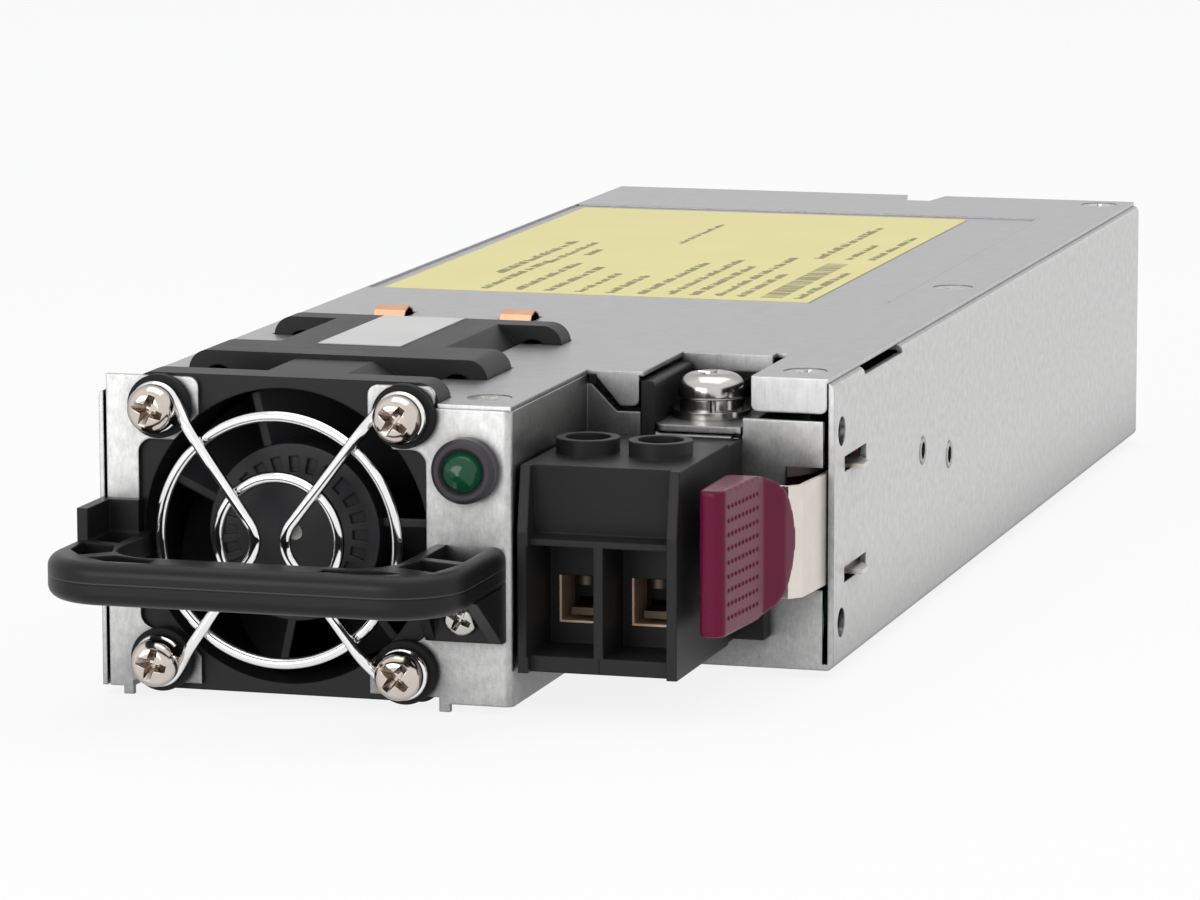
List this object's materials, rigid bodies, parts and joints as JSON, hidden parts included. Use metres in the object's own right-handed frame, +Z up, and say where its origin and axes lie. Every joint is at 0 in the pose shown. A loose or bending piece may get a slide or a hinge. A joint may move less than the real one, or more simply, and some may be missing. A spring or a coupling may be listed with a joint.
{
  "type": "hot-swap power supply",
  "caption": "Slim hot-swap power supply module with a twin counter-rotating fan behind a wire guard, a bar handle, a sprung side latch and a screw-clamp terminal plug.",
  "frame": {"origin": "centre of the case's flat underside, halfway along its width and length", "axes": "+Z up, -Y the front with fan, handle and terminals, +Y the rear edge contacts, +X to the right seen from the front, on the latch's side"},
  "size_m": [0.0887, 0.257, 0.041],
  "materials": {
    "case_steel": "galvanised, fine spangle",
    "cover_steel": "galvanised, fine spangle",
    "black_plastic": "moulded, fine grain",
    "rotor_plastic": "satin",
    "bright_steel": "zinc plated",
    "magnet": "ferrite",
    "sleeve_brass": "turned",
    "winding_copper": "enamelled wire",
    "guard_chrome": "bright plated wire",
    "screw_nickel": "nickel plated",
    "bush_rubber": "soft",
    "lens_green": "tinted clear",
    "handle_plastic": "moulded, fine grain",
    "terminal_plastic": "moulded, fine grain",
    "contact_copper": "copper alloy",
    "contact_gold": "gold flash",
    "latch_steel": "nickel plated spring steel",
    "pad_burgundy": "glossy moulded",
    "label_yellow": "printed film, left bare",
    "label_silver": "film, left bare",
    "board_laminate": "glass epoxy",
    "can_sleeve": "sleeved can",
    "sink_aluminium": "extruded"
  },
  "bodies": {
    "case": {"chassis": "case_steel", "cover": "cover_steel", "fan_frame_front": "black_plastic", "fan_frame_rear": "black_plastic", "fan_bearings": "sleeve_brass", "fan_stators": "winding_copper", "finger_guard": "guard_chrome", "fan_screws": "screw_nickel", "fan_bushes": "bush_rubber", "led_bezel": "black_plastic", "led_lens": "lens_green", "handle": "handle_plastic", "handle_screw": "screw_nickel", "terminal_header": "terminal_plastic", "header_pins": "contact_copper", "ground_flat_washer": "bright_steel", "ground_split_washer": "bright_steel", "ground_screw": "bright_steel", "ground_nut": "bright_steel", "grounding_springs": "contact_copper", "rating_label": "label_yellow", "fan_label": "label_silver", "cover_screws": "bright_steel", "terminal_insulator": "black_plastic", "main_board": "board_laminate", "edge_contacts": "contact_gold", "board_standoffs": "sleeve_brass", "bulk_capacitors": "can_sleeve", "output_capacitors": "can_sleeve", "transformer_core": "magnet", "transformer_winding": "winding_copper", "filter_chokes": "winding_copper", "output_inductor": "magnet", "heat_sinks": "sink_aluminium", "power_switches": "black_plastic"},
    "front_rotor": {"fan_rotor_front": "rotor_plastic", "fan_shaft_front": "bright_steel", "fan_magnet_front": "magnet"},
    "rear_rotor": {"fan_rotor_rear": "rotor_plastic", "fan_shaft_rear": "bright_steel", "fan_magnet_rear": "magnet"},
    "latch": {"latch_spring": "latch_steel", "latch_pad": "pad_burgundy", "latch_eyelets": "bright_steel"},
    "plug": {"terminal_plug": "terminal_plastic", "cage_clamps": "contact_copper", "clamp_screws": "bright_steel"}
  },
  "joints": [
    {"name": "front_rotor_spin", "type": "hinge", "parent": "case", "child": "front_rotor", "pos_m": [-0.0189, -0.1165, 0.0199], "axis": [0, 1, 0], "continuous": true},
    {"name": "rear_rotor_spin", "type": "hinge", "parent": "case", "child": "rear_rotor", "pos_m": [-0.0189, -0.1165, 0.0199], "axis": [0, 1, 0], "continuous": true},
    {"name": "latch_release", "type": "hinge", "parent": "case", "child": "latch", "pos_m": [0.042, -0.0135, 0.0185], "axis": [0, 0, -1], "range_deg": [0, 1.35], "stiffness_Nm_per_rad": 20},
    {"name": "plug_pull", "type": "slide", "parent": "case", "child": "plug", "axis": [0, -1, 0], "range_m": [0, 0.013]}
  ]
}
